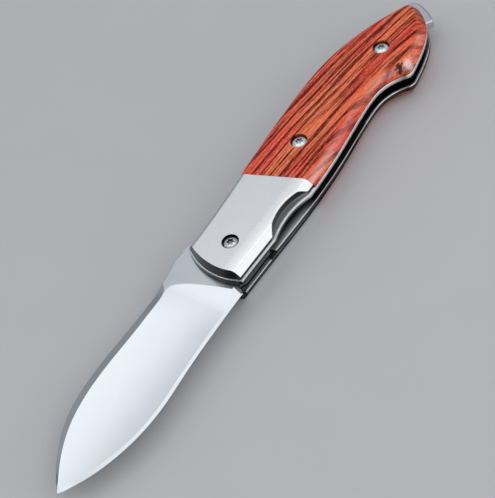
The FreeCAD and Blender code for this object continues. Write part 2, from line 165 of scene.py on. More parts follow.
Operand = Union[Value, float]
Input = Union[Value, float, Sequence[float]]


@dataclass(frozen=True)
class Layer:
    """Soft noise: lumps to a millimetre along X, Y and Z, finer layers and how strong these are."""

    density: Triple
    detail: float = 2.0
    rough: float = 0.5


class Shader:
    """A node tree, and the node patterns that the finishes share."""

    def __init__(self, tree: bpy.types.NodeTree) -> None:
        """Empties the tree."""
        self.tree = tree
        self.tree.nodes.clear()

    def node(
        self,
        kind: str,
        settings: Optional[Dict[str, object]] = None,
        sockets: Optional[Dict[Union[str, int], Input]] = None,
        output: Union[str, int] = 0,
    ) -> Value:
        """Adds a node.

        Args:
            kind: The node's type.
            settings: Its own settings, set before its sockets; "stops" are a ramp's stops.
            sockets: Values or links for its inputs, by name or number.
            output: The output to return, by name or number.

        Returns:
            That output, or the first input of a node that has no outputs.
        """
        made = self.tree.nodes.new(kind)
        for name, setting in (settings or {}).items():
            if name == "stops":
                self._fill_ramp(made.color_ramp, setting)
            else:
                setattr(made, name, setting)
        for name, given in (sockets or {}).items():
            if isinstance(given, Value):
                self.tree.links.new(given.socket, made.inputs[name])
            else:
                made.inputs[name].default_value = given
        return Value(self, made.outputs[output] if made.outputs else made.inputs[0])

    @staticmethod
    def _fill_ramp(ramp: bpy.types.ColorRamp, stops: Stops) -> None:
        """Gives a ramp its stops, in rising order.

        Args:
            ramp: The ramp, with two stops of its own.
            stops: Places from 0 to 1, each with its colour.
        """
        while len(ramp.elements) < len(stops):
            ramp.elements.new(1.0)
        for element, (place, colour) in zip(ramp.elements, stops):
            element.position = place
            element.color = (*colour, 1.0)

    def place(self) -> Value:
        """Object coordinates in millimetres."""
        metres = self.node("ShaderNodeTexCoord", output="Object")
        return self.scaled(metres, (1 / MILLIMETRE,) * 3)

    def facing(self) -> Tuple[Value, Value, Value]:
        """The surface's normal along X, Y and Z of its own object."""
        return self.parts(self.node("ShaderNodeTexCoord", output="Normal"))

    def scaled(self, vector: Value, scale: Triple) -> Value:
        """A vector times a scale along each axis."""
        return self.node("ShaderNodeMapping", None, {"Vector": vector, "Scale": scale})

    def parts(self, vector: Value) -> Tuple[Value, Value, Value]:
        """Takes a vector apart.

        Args:
            vector: The vector.

        Returns:
            Its X, Y and Z.
        """
        first = self.node("ShaderNodeSeparateXYZ", None, {0: vector})
        outputs = first.socket.node.outputs
        return first, Value(self, outputs[1]), Value(self, outputs[2])

    def noise(self, vector: Value, layer: Layer) -> Value:
        """Soft noise.

        Args:
            vector: Where it is read, in millimetres.
            layer: Its density and detail.

        Returns:
            The noise, from 0 to 1.
        """
        return self.node("ShaderNodeTexNoise", None, {
            "Vector": self.scaled(vector, layer.density),
            "Scale": 1.0,
            "Detail": layer.detail,
            "Roughness": layer.rough,
        })

    def ramp(self, value: Value, stops: Stops) -> Value:
        """Colours along a value from 0 to 1."""
        return self.node("ShaderNodeValToRGB", {"stops": stops}, {0: value})

    def mix(self, share: Input, first: Input, second: Input, way: str = "MIX") -> Value:
        """A colour made of two.

        Args:
            share: 0 for the first colour alone, 1 for the mixture in full.
            first: A colour.
            second: Another colour, or a value that stands for a grey.
            way: How the second goes on the first; "MIX" covers it.

        Returns:
            The mixed colour.
        """
        colours = {MIX_FIRST: self._opaque(first), MIX_SECOND: self._opaque(second)}
        settings = {"data_type": "RGBA", "blend_type": way}
        return self.node("ShaderNodeMix", settings, {MIX_SHARE: share, **colours}, MIX_RESULT)

    def tinted(self, colour: Input, tone: Value) -> Value:
        """A colour made lighter or darker by a tone, where 1 leaves it as it is."""
        return self.mix(1.0, colour, tone, "MULTIPLY")

    @staticmethod
    def _opaque(colour: Input) -> Input:
        """A colour with its alpha, or a link as it is."""
        return colour if isinstance(colour, Value) else (*colour, 1.0)

    def relief(self, height: Value, edge: float) -> Value:
        """A normal for fine relief on a surface whose edges are broken.

        Args:
            height: The relief, in millimetres.
            edge: Radius of the broken edges, in millimetres.

        Returns:
            The normal.
        """
        radius = {"Radius": edge * MILLIMETRE}
        soft = self.node("ShaderNodeBevel", {"samples": EDGE_SAMPLES}, radius)
        sockets = {"Height": height, "Distance": MILLIMETRE, "Normal": soft}
        return self.node("ShaderNodeBump", None, sockets)

    def surface(self, sockets: Dict[str, Input]) -> None:
        """Ends the tree in one Principled surface with the given inputs."""
        surface = self.node("ShaderNodeBsdfPrincipled", None, sockets)
        self.node("ShaderNodeOutputMaterial", None, {"Surface": surface})


class Grain(Enum):
    """Which way the fine lines of a ground surface run."""

    LENGTHWISE = Layer((0.12, 9.0, 9.0), 3.0, 0.6)
    CROSSWISE = Layer((9.0, 0.12, 0.5), 3.0, 0.6)
    CLOUDED = Layer((0.7, 1.4, 1.4), 3.0, 0.6)


@dataclass(frozen=True)
class Finish:
    """What all finishes have."""

    name: str

    def material(self) -> bpy.types.Material:
        """Makes a material with this finish.

        Returns:
            The new material.
        """
        made = bpy.data.materials.new(self.name)
        made.use_nodes = True
        self.paint(Shader(made.node_tree))
        return made

    def paint(self, shader: Shader) -> None:
        """Fills the material's node tree."""
        raise NotImplementedError


@dataclass(frozen=True)
class Steel(Finish):
    """Ground or polished metal with fine lines, faint clouds, broken edges and painted shade on
    upright walls.
    """

    colour: Colour = (0.86, 0.86, 0.86)
    roughness: float = 0.26
    grain: Grain = Grain.LENGTHWISE
    line_depth: float = 0.004
    line_tone: float = 0.06
    cloud_tone: float = 0.05
    # Painted shade on upright walls; 1 paints none.
    painted_wall_shade: float = 1.0
    edge: float = 0.12
    clouds: Layer = Layer((0.22, 0.22, 0.22), 3.0)
    wall_streaks: Layer = Layer((0.08, 0.08, 3.0))
    streak_tones: Span = (0.4, 1.6)
    upright: Limits = (0.45, 0.20)
    spine_out: Limits = (0.0, 0.35)
    spine_along: Limits = (-0.60, -0.30)

    def tone(self, shader: Shader, place: Value) -> Value:
        """How light each spot is: about 1, with painted shade on upright walls, except along the
        spine.

        Args:
            shader: The shader to add to.
            place: Object coordinates in millimetres.

        Returns:
            The tone.
        """
        clouds = 1.0 + shader.noise(place, self.clouds).swing(self.cloud_tone)
        along, out, up = shader.facing()
        spine = out.rise(*self.spine_out) * along.rise(*self.spine_along)
        wall = up.size().rise(*self.upright) * (1.0 - spine)
        streaks = shader.noise(place, self.wall_streaks).blend(*self.streak_tones)
        # Painted shade: upright walls are darkened in colour, with streaks.
        return clouds * wall.blend(1.0, streaks * self.painted_wall_level(shader, place))

    def painted_wall_level(self, shader: Shader, place: Value) -> Operand:
        """How light the upright walls are painted: the painted shade on them."""
        return self.painted_wall_shade

    def height(self, shader: Shader, place: Value, lines: Value) -> Value:
        """The relief in millimetres, with fine lines that run from 0 to 1."""
        return lines * self.line_depth

    def metal(self, shader: Shader, place: Value) -> Operand:
        """How far each spot mirrors as bare metal does."""
        return 1.0

    def paint(self, shader: Shader) -> None:
        """Fills the material's node tree.

        Args:
            shader: The shader to add to.
        """
        place = shader.place()
        lines = shader.noise(place, self.grain.value)
        swing = lines.swing(self.line_tone)
        shader.surface({
            "Base Color": shader.tinted(self.colour, self.tone(shader, place) + swing),
            "Metallic": self.metal(shader, place),
            "Roughness": self.roughness + swing,
            "Normal": shader.relief(self.height(shader, place, lines), self.edge),
        })


@dataclass(frozen=True)
class BladeSteel(Steel):
    """Ground blade: bright grinds, a little hollow, painted shade on the swage and grey flats at
    the handle.
    """

    low: float = 0.0
    high: float = 0.0
    flat_tone: float = 0.80
    flat_depth: float = 0.02
    # Painted shade on the swage, which faces the spine.
    swage_painted_shade: float = 0.66
    swage_out: Limits = (0.08, 0.18)
    bevel_tone: float = 0.95
    bevel_up: Limits = (0.99, 0.96)
    tang: Limits = (-10.2, -9.4)
    hollow: float = 0.36
    hollow_middle: float = 0.0
    hollow_half: float = 10.0
    hollow_along: Limits = (-11.0, -26.0)

    def painted_wall_level(self, shader: Shader, place: Value) -> Operand:
        """How light the upright walls are painted: only the tang's walls get painted shade."""
        return shader.parts(place)[0].rise(*self.tang).blend(1.0, self.painted_wall_shade)

    def tone(self, shader: Shader, place: Value) -> Value:
        """Darker on the edge bevel and where the flats were left, with painted shade on the swage.

        Args:
            shader: The shader to add to.
            place: Object coordinates in millimetres.

        Returns:
            The tone.
        """
        middle = (self.low + self.high) / 2
        half = (self.high - self.low) / 2
        depth = half - (shader.parts(place)[2] - middle).size()
        ground = depth.rise(0.0, self.flat_depth)
        _, out, up = shader.facing()
        bevel = up.size().rise(*self.bevel_up)
        swage = out.rise(*self.swage_out)
        shade = ground.blend(self.flat_tone, 1.0) * bevel.blend(1.0, self.bevel_tone)
        # Painted shade: the swage is darkened in colour.
        return super().tone(shader, place) * shade * swage.blend(1.0, self.swage_painted_shade)

    def height(self, shader: Shader, place: Value, lines: Value) -> Value:
        """Fine lines on a shallow hollow.

        Args:
            shader: The shader to add to.
            place: Object coordinates in millimetres.
            lines: The fine lines, from 0 to 1.

        Returns:
            The relief.
        """
        x, y, _ = shader.parts(place)
        across = (y - self.hollow_middle) / self.hollow_half
        hollow = across.square() * x.rise(*self.hollow_along) * self.hollow
        return super().height(shader, place, lines) + hollow


@dataclass(frozen=True)
class ThumbNotch:
    """The arc of the thumb notch and the length over which its ends fade, in millimetres."""

    reach: float = 14.8
    half: float = 8.25
    fade: float = 0.6
    centre: float = -30.6
    radius: float = 23.44

    def mouth(self, x: Value) -> Value:
        """1 along the notch's mouth and 0 beyond its ends."""
        return (x - self.reach).size().rise(self.half + self.fade, self.half - self.fade)

    def inland(self, x: Value, y: Value) -> Value:
        """How far a spot lies behind the notch's arc."""
        return ((x - self.reach).square() + (y - self.centre).square()).root() - self.radius


@dataclass(frozen=True)
class BolsterSteel(Steel):
    """Satin bolster: painted shade on the walls, painted lighter at the thumb notch's foot, land
    worn at the belly.
    """

    wash: Limits = (-3.0, -6.0)
    wash_depth: float = 0.16
    notch: ThumbNotch = ThumbNotch()
    foot: float = 0.0
    foot_painted_tone: float = 0.32
    foot_above: Limits = (1.4, 0.7)
    foot_below: Limits = (-0.2, -0.1)

    def painted_wall_level(self, shader: Shader, place: Value) -> Operand:
        """How light the upright walls are painted.

        Args:
            shader: The shader to add to.
            place: Object coordinates in millimetres.

        Returns:
            The tone: painted shade, with less of it at the foot of the thumb notch, which only the
                front bolster has.
        """
        x, _, z = shader.parts(place)
        height = z - self.foot
        low = height.rise(*self.foot_above) * height.rise(*self.foot_below)
        # Painted shade on the walls, painted lighter at the foot of the thumb notch.
        return (low * self.notch.mouth(x)).blend(self.painted_wall_shade, self.foot_painted_tone)

    def height(self, shader: Shader, place: Value, lines: Value) -> Value:
        """Fine lines, and the belly side polished off."""
        wash = shader.parts(place)[1].share(*self.wash)
        return super().height(shader, place, lines) - wash.square() * self.wash_depth


@dataclass(frozen=True)
class LinerSteel(Steel):
    """Liner: painted highlights on the outer edge and beside the wood, painted shade inside, in
    front and behind the notch.
    """

    middle: float = 0.0
    inner_half: float = 0.0
    outer_half: float = 0.0
    # Painted shade on the inner faces, the front end and the ledge.
    inner_painted_shade: float = 0.3
    inner_skin: Limits = (0.10, 0.02)
    level_up: Limits = (0.6, 0.95)
    end_painted_shade: float = 0.10
    end_along: Limits = (-0.45, -0.80)
    notch: ThumbNotch = ThumbNotch()
    ledge_painted_shade: float = 0.42
    ledge_inland: Limits = (0.20, 0.50)
    # Painted highlights on the walls beside the wood and on strips at the inner or outer edge.
    beside_wood: Limits = (17.0, 26.0)
    beside_wood_painted_tone: float = 1.0
    strip_painted_light: float = 0.0
    strip: Limits = (0.4, 0.28)
    lip_painted_light: float = 0.0
    lip: Limits = (0.5, 0.35)

    def painted_wall_level(self, shader: Shader, place: Value) -> Operand:
        """How light the upright walls are painted.

        Args:
            shader: The shader to add to.
            place: Object coordinates in millimetres.

        Returns:
            The tone: painted shade, with painted highlights beside the wood and along a strip at
                the inner or outer edge.
        """
        x, _, z = shader.parts(place)
        beside = x.rise(*self.beside_wood)
        level = (z - self.middle).size()
        inner = (level - self.inner_half).rise(*self.strip)
        outer = (self.outer_half - level).rise(*self.lip) * (1.0 - beside)
        # Painted highlights: strips at the inner or outer edge are painted lighter.
        painted_shine = inner * self.strip_painted_light + outer * self.lip_painted_light
        return beside.blend(self.painted_wall_shade, self.beside_wood_painted_tone) + painted_shine

    def tone(self, shader: Shader, place: Value) -> Value:
        """Painted shade on the inner faces, the front end and the ledge behind the notch.

        Args:
            shader: The shader to add to.
            place: Object coordinates in millimetres.

        Returns:
            The tone.
        """
        x, y, z = shader.parts(place)
        along, _, up = shader.facing()
        # Painted shade on the inner faces, between the liners.
        inner = ((z - self.middle).size() - self.inner_half).rise(*self.inner_skin)
        inner = inner * up.size().rise(*self.level_up)
        # Painted shade on the front end face.
        end = along.rise(*self.end_along)
        # Painted shade on the ledge behind the thumb notch.
        ledge = self.notch.inland(x, y).rise(*self.ledge_inland) * self.notch.mouth(x)
        ledge = ledge * up.rise(*self.level_up)
        shade = inner.blend(1.0, self.inner_painted_shade) * end.blend(1.0, self.end_painted_shade)
        return super().tone(shader, place) * shade * ledge.blend(1.0, self.ledge_painted_shade)


@dataclass(frozen=True)
class SpringSteel(Steel):
    """Lock bar: painted shade in the depth of the slot, left light where the thumb notch opens it.
    """

    # Painted shade in the depth of the slot.
    slot_painted_shade: float = 0.06
    lit_along: Limits = (25.0, 19.0)
    lit_across: Limits = (-5.6, -8.4)
    level_up: Limits = (0.3, 0.7)
    inner_face: float = 0.0
    root: float = 52.0
    rise_rate: float = 0.0217
    strip_painted_light: float = 0.9
    strip: Limits = (0.4, 0.28)

    def painted_wall_level(self, shader: Shader, place: Value) -> Operand:
        """How light the upright walls are painted.

        Args:
            shader: The shader to add to.
            place: Object coordinates in millimetres.

        Returns:
            The tone: a painted highlight along a strip below the inner face.
        """
        x, _, z = shader.parts(place)
        below = self.inner_face + (self.root - x) * self.rise_rate - z
        return self.painted_wall_shade + below.rise(*self.strip) * self.strip_painted_light

    def tone(self, shader: Shader, place: Value) -> Value:
        """Painted shade on the face away from the thumb notch.

        Args:
            shader: The shader to add to.
            place: Object coordinates in millimetres.

        Returns:
            The tone.
        """
        x, y, _ = shader.parts(place)
        lit_face = x.rise(*self.lit_along) * y.rise(*self.lit_across)
        lit_face = shader.facing()[2].size().rise(*self.level_up).blend(1.0, lit_face)
        # Painted shade: the slot's depth is darkened, light only near the thumb notch.
        return super().tone(shader, place) * lit_face.blend(self.slot_painted_shade, 1.0)


@dataclass(frozen=True)
class ScrewSteel(Steel):
    """Polished button head: bright crown, painted shade round its rim and down its matt socket."""

    middle: float = 0.0
    outer: float = 0.0
    rim_painted_shade: float = 0.40
    rim_up: Limits = (0.985, 0.925)
    socket_depth: Limits = (0.45, 0.75)
    socket_painted_shade: float = 0.12
    socket_matt: float = 0.85

    def socket(self, shader: Shader, place: Value) -> Value:
        """1 down the socket and 0 on the crown."""
        depth = self.outer - (shader.parts(place)[2] - self.middle).size()
        return depth.rise(*self.socket_depth)

    def metal(self, shader: Shader, place: Value) -> Operand:
        """How far each spot mirrors: less down the matt socket."""
        return 1.0 - self.socket(shader, place) * self.socket_matt

    def tone(self, shader: Shader, place: Value) -> Value:
        """Painted shade round the crown and down the socket.

        Args:
            shader: The shader to add to.
            place: Object coordinates in millimetres.

        Returns:
            The tone.
        """
        rim = shader.facing()[2].size().rise(*self.rim_up)
        socket = self.socket(shader, place)
        # Painted shade on the crown's rim and in the socket.
        shade = rim.blend(1.0, self.rim_painted_shade) * socket.blend(1.0, self.socket_painted_shade)
        return super().tone(shader, place) * shade


@dataclass(frozen=True)
class Figure:
    """How the wood's grain bends along the handle, and the dark streaks that follow it."""

    slant: float = 0.08
    bend: float = 0.0011
    bend_from: float = 30.0
    drift: Layer = Layer((0.02, 0.10, 0.10))
    drift_width: float = 3.0
    depth_rate: float = 0.3
    ring_rate: float = 0.42
    ring_shift: float = 2.2
    ring_shifts: Layer = Layer((0.015, 0.20, 0.20))
    ring_limits: Limits = (0.36, 0.86)
    strength: Layer = Layer((0.04, 0.55, 0.55))
    strength_limits: Limits = (0.26, 0.46)
    veins: Layer = Layer((0.05, 1.6, 1.6), 3.0, 0.6)
    vein_limits: Limits = (0.51, 0.62)
    vein_share: float = 0.8
    lines: Layer = Layer((0.06, 3.2, 3.2))
    line_limits: Limits = (0.52, 0.64)
    line_share: float = 0.6

    def grain(self, shader: Shader, place: Value) -> Value:
        """Lays coordinates along the grain.

        Args:
            shader: The shader to add to.
            place: Object coordinates in millimetres.

        Returns:
            How far each spot lies along, across and through the grain.
        """
        x, y, z = shader.parts(place)
        along = x - self.bend_from
        drift = shader.noise(place, self.drift).swing(self.drift_width)
        across = y + along * (self.slant + along * self.bend) + drift
        sockets = {"X": x, "Y": across, "Z": z * self.depth_rate}
        return shader.node("ShaderNodeCombineXYZ", None, sockets)

    def streaks(self, shader: Shader, grain: Value) -> Value:
        """Where the dark streaks lie.

        Args:
            shader: The shader to add to.
            grain: Coordinates along the grain.

        Returns:
            1 on a streak and 0 between them.
        """
        shift = shader.noise(grain, self.ring_shifts) * self.ring_shift
        ring = ((shader.parts(grain)[1] * self.ring_rate + shift) * math.tau).wave()
        strong = shader.noise(grain, self.strength).rise(*self.strength_limits)
        broad = ring.rise(*self.ring_limits) * strong
        thin = shader.noise(grain, self.veins).rise(*self.vein_limits) * self.vein_share
        fine = shader.noise(grain, self.lines).rise(*self.line_limits) * self.line_share
        return 1.0 - (1.0 - broad) * (1.0 - thin) * (1.0 - fine)


@dataclass(frozen=True)
class Spot:
    """A small oval spot on the front scale, in millimetres; limits are on its squared radius."""

    reach: float
    drop: float
    length: float
    width: float
    limits: Limits

    def mask(self, x: Value, y: Value) -> Value:
        """1 in the spot and 0 around it."""
        off_x, off_y = (x - self.reach) / self.length, (y - self.drop) / self.width
        return (off_x.square() + off_y.square()).rise(*self.limits)


@dataclass(frozen=True)
class ScaleFaces:
    """Masks that are 1 on one of a scale's faces, or on all of the front or the rear scale."""

    walls: Value
    butt: Value
    inner: Value
    belly: Value
    band: Value
    front: Value
    rear: Value


@dataclass(frozen=True)
class ScaleShape:
    """Where the scales lie, and how their heights and normals tell one face from another."""

    middle: float
    inner_half: float
    inner_skin: Limits = (0.06, 0.02)
    wall_up: Limits = (0.40, 0.15)
    butt_along: Limits = (0.35, 0.65)
    belly_out: Limits = (-0.18, -0.45)
    band_inside: Limits = (3.4, 4.2)
    band_outside: Limits = (5.8, 5.0)

    def faces(self, shader: Shader, place: Value) -> ScaleFaces:
        """Tells the scales' faces apart.

        Args:
            shader: The shader to add to.
            place: Object coordinates in millimetres.

        Returns:
            A mask for each face; the band runs along the middle of the sloped border.
        """
        end, out, up = shader.facing()
        side = shader.parts(place)[2] - self.middle
        level = side.size()
        walls = up.size().rise(*self.wall_up)
        return ScaleFaces(
            walls=walls,
            butt=end.rise(*self.butt_along),
            inner=(level - self.inner_half).rise(*self.inner_skin),
            belly=out.rise(*self.belly_out) * (1.0 - walls),
            band=level.rise(*self.band_inside) * level.rise(*self.band_outside),
            front=side.rise(0.0, 1.0),
            rear=side.rise(0.0, -1.0),
        )


@dataclass(frozen=True)
class WoodMap:
    """Values over the scales that the wood's colour, coat and relief share."""

    x: Value
    y: Value
    grain: Value
    faces: ScaleFaces
    fibres: Value
    mottle: Value
    dashes: Value
    pores: Value
    plain: Value
    streak: Value
    knot: Value


@dataclass(frozen=True)
class PaintedSparkle:
    """Painted highlights: pale glints all over the wood, and longer flecks towards the spine."""

    colour: Colour = (1.0, 0.62, 0.50)
    glints: Layer = Layer((1.7, 4.8, 4.8), 2.0, 0.6)
    glint_limits: Limits = (0.55, 0.68)
    glint_share: float = 0.75
    fleck_limits: Limits = (0.57, 0.70)
    fleck_across: Limits = (-3.0, 6.0)
    fleck_share: float = 0.5
    streak_tone: float = 0.15

    def share(self, shader: Shader, wood: WoodMap) -> Value:
        """How much of the painted glints and flecks shows.

        Args:
            shader: The shader to add to.
            wood: Values over the scales.

        Returns:
            The share, less on the dark streaks and the sloped belly.
        """
        glints = shader.noise(wood.grain, self.glints).rise(*self.glint_limits) * self.glint_share
        flecks = wood.dashes.rise(*self.fleck_limits) * wood.y.rise(*self.fleck_across)
        pale = (glints + flecks * self.fleck_share) * wood.plain
        return (pale * wood.streak.blend(1.0, self.streak_tone)).share(0.0, 1.0)


@dataclass(frozen=True)
class Gloss:
    """Clear coat along the rolled border of the belly, and on one bright spot beside the knot."""

    roughness: float = 0.20
    ior: float = 3.4
    least: float = 0.16
    near_bolster: Limits = (50.0, 27.0)
    bolster_share: float = 0.50
    patches: Layer = Layer((0.10, 0.5, 0.5))
    patch_limits: Limits = (0.40, 0.60)
    patch_share: float = 0.34
    fibre_tones: Span = (0.55, 1.45)
    bright_spot: Spot = Spot(70.3, -9.7, 1.3, 1.3, (1.4, 0.2))
    knot_share: float = 0.1

    def weight(self, shader: Shader, wood: WoodMap) -> Value:
        """How strong the coat is.

        Args:
            shader: The shader to add to.
            wood: Values over the scales.

        Returns:
            The weight: more near the bolster and in patches, little on the knot, none at the butt.
        """
        patches = shader.noise(wood.grain, self.patches).rise(*self.patch_limits)
        near = wood.x.rise(*self.near_bolster)
        painted_shine = self.least + near * self.bolster_share + patches * self.patch_share
        border = wood.faces.belly * wood.faces.band * (1.0 - wood.faces.butt)
        border = border * painted_shine * wood.fibres.blend(*self.fibre_tones)
        bright = self.bright_spot.mask(wood.x, wood.y) * wood.faces.front
        return (border + bright) * wood.knot.blend(1.0, self.knot_share)


@dataclass(frozen=True)
class Rosewood(Finish):
    """Polished red wood with dark streaks, fine fibres, open pores, one knot, glossy edges, painted
    glints and painted shade.
    """

    shape: ScaleShape
    figure: Figure = Figure()
    # Painted highlights: pale glints and flecks mixed into the colour.
    painted_sparkle: PaintedSparkle = PaintedSparkle()
    gloss: Gloss = Gloss()
    orange: Colour = (1.0, 0.205, 0.072)
    red: Colour = (0.96, 0.092, 0.040)
    dark: Colour = (0.120, 0.002, 0.003)
    roughness: float = 0.34
    specular: float = 0.12
    edge: float = 0.15
    patches: Layer = Layer((0.03, 0.22, 0.22))
    patch_slope: float = 0.008
    patch_limits: Limits = (0.42, 0.64)
    fibres: Layer = Layer((0.25, 6.0, 6.0), 3.0, 0.7)
    fibre_tone: float = 1.4
    fibre_roughness: float = 0.16
    fibre_height: float = 0.010
    mottle: Layer = Layer((1.3, 3.6, 3.6), 3.0, 0.7)
    mottle_tone: float = 1.8
    dashes: Layer = Layer((0.45, 3.6, 3.6), 2.0, 0.6)
    pore_limits: Limits = (0.34, 0.54)
    pore_strength: Span = (0.3, 1.7)
    pore_depth: float = 0.014
    streak_dark: Span = (0.50, 1.16)
    belly_plain: float = 0.4
    belly_streak: float = 0.65
    knot: Spot = Spot(67.9, -8.5, 0.9, 0.7, (2.4, 0.1))
    knot_ragged_along: float = 4.0
    knot_ragged_across: float = 2.0
    knot_dark: float = 0.9
    knot_tone: float = 0.15
    # Painted shade on the scales' walls, the rear scale, the inner faces and the butt end.
    painted_wall_shade: float = 0.40
    rear_wall_painted_shade: float = 0.08
    rear_painted_shade: float = 0.60
    inner_painted_shade: float = 0.10
    butt_painted_shade: float = 0.45

    def read(self, shader: Shader) -> WoodMap:
        """Works out what the colour, the coat and the relief share.

        Args:
            shader: The shader to add to.

        Returns:
            The values over the scales.
        """
        place = shader.place()
        x, y, _ = shader.parts(place)
        faces = self.shape.faces(shader, place)
        grain = self.figure.grain(shader, place)
        fibres = shader.noise(grain, self.fibres)
        mottle = shader.noise(grain, self.mottle)
        dashes = shader.noise(grain, self.dashes)
        streak = self.figure.streaks(shader, grain)
        ragged_x = x + mottle.swing(self.knot_ragged_along)
        ragged_y = y + fibres.swing(self.knot_ragged_across)
        return WoodMap(
            x=x,
            y=y,
            grain=grain,
            faces=faces,
            fibres=fibres,
            mottle=mottle,
            dashes=dashes,
            pores=dashes.rise(*self.pore_limits) * mottle.blend(*self.pore_strength),
            plain=faces.belly.blend(1.0, self.belly_plain),
            streak=streak * faces.belly.blend(1.0, self.belly_streak),
            knot=self.knot.mask(ragged_x, ragged_y) * faces.front,
        )

    def colour(self, shader: Shader, wood: WoodMap) -> Value:
        """The wood's own colour, with painted glints.

        Args:
            shader: The shader to add to.
            wood: Values over the scales.

        Returns:
            Orange and red ground, dark streaks and knot, pale painted glints.
        """
        patches = shader.noise(wood.grain, self.patches) + wood.y * self.patch_slope
        ground = shader.mix(patches.rise(*self.patch_limits), self.orange, self.red)
        tone = 1.0 + wood.fibres.swing(wood.plain * self.fibre_tone)
        tone = tone * (1.0 + wood.mottle.swing(wood.plain * self.mottle_tone))
        dark = wood.streak * wood.pores.blend(*self.streak_dark) + wood.knot * self.knot_dark
        figured = shader.mix(dark.share(0.0, 1.0), shader.tinted(ground, tone), self.dark)
        # Painted highlights: pale glints mixed over the figured wood.
        return shader.mix(self.painted_sparkle.share(shader, wood), figured, self.painted_sparkle.colour)

    def shade(self, wood: WoodMap) -> Value:
        """How light each face is.

        Args:
            wood: Values over the scales.

        Returns:
            The tone: 1 on the front scale's polished face, painted shade on walls, ends and the
                rear.
        """
        faces = wood.faces
        # Painted shade: walls, the rear scale, inner faces and the butt end are darkened in colour.
        walls = faces.rear.blend(self.painted_wall_shade, self.rear_wall_painted_shade)
        sides = faces.walls.blend(1.0, walls) * faces.rear.blend(1.0, self.rear_painted_shade)
        ends = faces.inner.blend(1.0, self.inner_painted_shade) * faces.butt.blend(1.0, self.butt_painted_shade)
        return sides * ends * wood.knot.blend(1.0, self.knot_tone)

    def relief(self, wood: WoodMap) -> Value:
        """Fibres that stand up and pores that lie deep, in millimetres."""
        pores = wood.pores * wood.streak * self.pore_depth
        return (wood.fibres * self.fibre_height - pores) * wood.plain

    def paint(self, shader: Shader) -> None:
        """Fills the material's node tree.

        Args:
            shader: The shader to add to.
        """
        wood = self.read(shader)
        shader.surface({
            "Base Color": shader.tinted(self.colour(shader, wood), self.shade(wood)),
            "Roughness": self.roughness + wood.fibres.swing(self.fibre_roughness),
            "Specular IOR Level": self.specular,
            "Coat Weight": self.gloss.weight(shader, wood),
            "Coat Roughness": self.gloss.roughness,
            "Coat IOR": self.gloss.ior,
            "Normal": shader.relief(self.relief(wood), self.edge),
        })


@dataclass(frozen=True)
class Paper(Finish):
    """Matt pale floor with a faint mottle."""

    colour: Colour = (0.62, 0.62, 0.63)
    mottle: Layer = Layer((0.05, 0.05, 0.05), 3.0)
    tones: Span = (0.98, 1.02)
    roughness: float = 0.9
    specular: float = 0.1

    def paint(self, shader: Shader) -> None:
        """Fills the material's node tree.

        Args:
            shader: The shader to add to.
        """
        tone = shader.noise(shader.place(), self.mottle).blend(*self.tones)
        shader.surface({
            "Base Color": shader.tinted(self.colour, tone),
            "Roughness": self.roughness,
            "Specular IOR Level": self.specular,
        })


@dataclass
class SubAssembly:
    """A group of the knife's pieces that is dressed as one."""

    def finishes(self) -> Dict[str, Finish]:
        """The finish of each piece."""
        raise NotImplementedError

    def dress(self) -> None:
        """Gives every piece its finish."""
        made: Dict[Finish, bpy.types.Material] = {}
        for node, finish in self.finishes().items():
            if finish not in made:
                made[finish] = finish.material()
            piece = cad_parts[node]
            piece.data.materials.clear()
            piece.data.materials.append(made[finish])
            log.info("%s: %s is %s", type(self).__name__, node, finish.name)


@dataclass
class Blade(SubAssembly):
    """The ground blade."""

    colour: Colour = (0.86, 0.91, 0.94)
    roughness: float = 0.22

    def finishes(self) -> Dict[str, Finish]:
        """Fits the finish to the blade.

        Returns:
            The finish of each piece.
        """
        low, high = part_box("blade")
        # The ground steel carries painted shade on the tang's walls and on the swage.
        ground = BladeSteel(
            "ground_steel",
            colour=self.colour,
            roughness=self.roughness,
            grain=Grain.CROSSWISE,
            painted_wall_shade=0.22,
            low=low.z / MILLIMETRE,
            high=high.z / MILLIMETRE,
        )
        return {"blade": ground}


@dataclass
class Bolsters(SubAssembly):
    """Both bolsters and the screws that hold them from inside."""

    colour: Colour = (0.91, 0.92, 0.91)
    roughness: float = 0.27

    def finishes(self) -> Dict[str, Finish]:
        """Fits the finishes to the bolsters.

        Returns:
            The finish of each piece.
        """
        # Painted shade on the bolsters' walls.
        satin = BolsterSteel(
            "satin_steel",
            colour=self.colour,
            roughness=self.roughness,
            grain=Grain.CLOUDED,
            line_depth=0.0003,
            line_tone=0.03,
            painted_wall_shade=0.05,
            foot=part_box("front_bolster")[0].z / MILLIMETRE,
        )
        plain = Steel("bolster_screw_steel", self.colour, self.roughness)
        return {
            "front_bolster": satin,
            "rear_bolster": satin,
            "front_bolster_screws": plain,
            "rear_bolster_screws": plain,
        }


@dataclass
class Scales(SubAssembly):
    """Both wood scales."""

    def finishes(self) -> Dict[str, Finish]:
        """Fits the finish to the scales.

        Returns:
            The finish of each piece.
        """
        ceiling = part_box("front_scale")[0].z / MILLIMETRE
        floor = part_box("rear_scale")[1].z / MILLIMETRE
        shape = ScaleShape(middle=(ceiling + floor) / 2, inner_half=(ceiling - floor) / 2)
        wood = Rosewood("polished_rosewood", shape)
        return {"front_scale": wood, "rear_scale": wood}


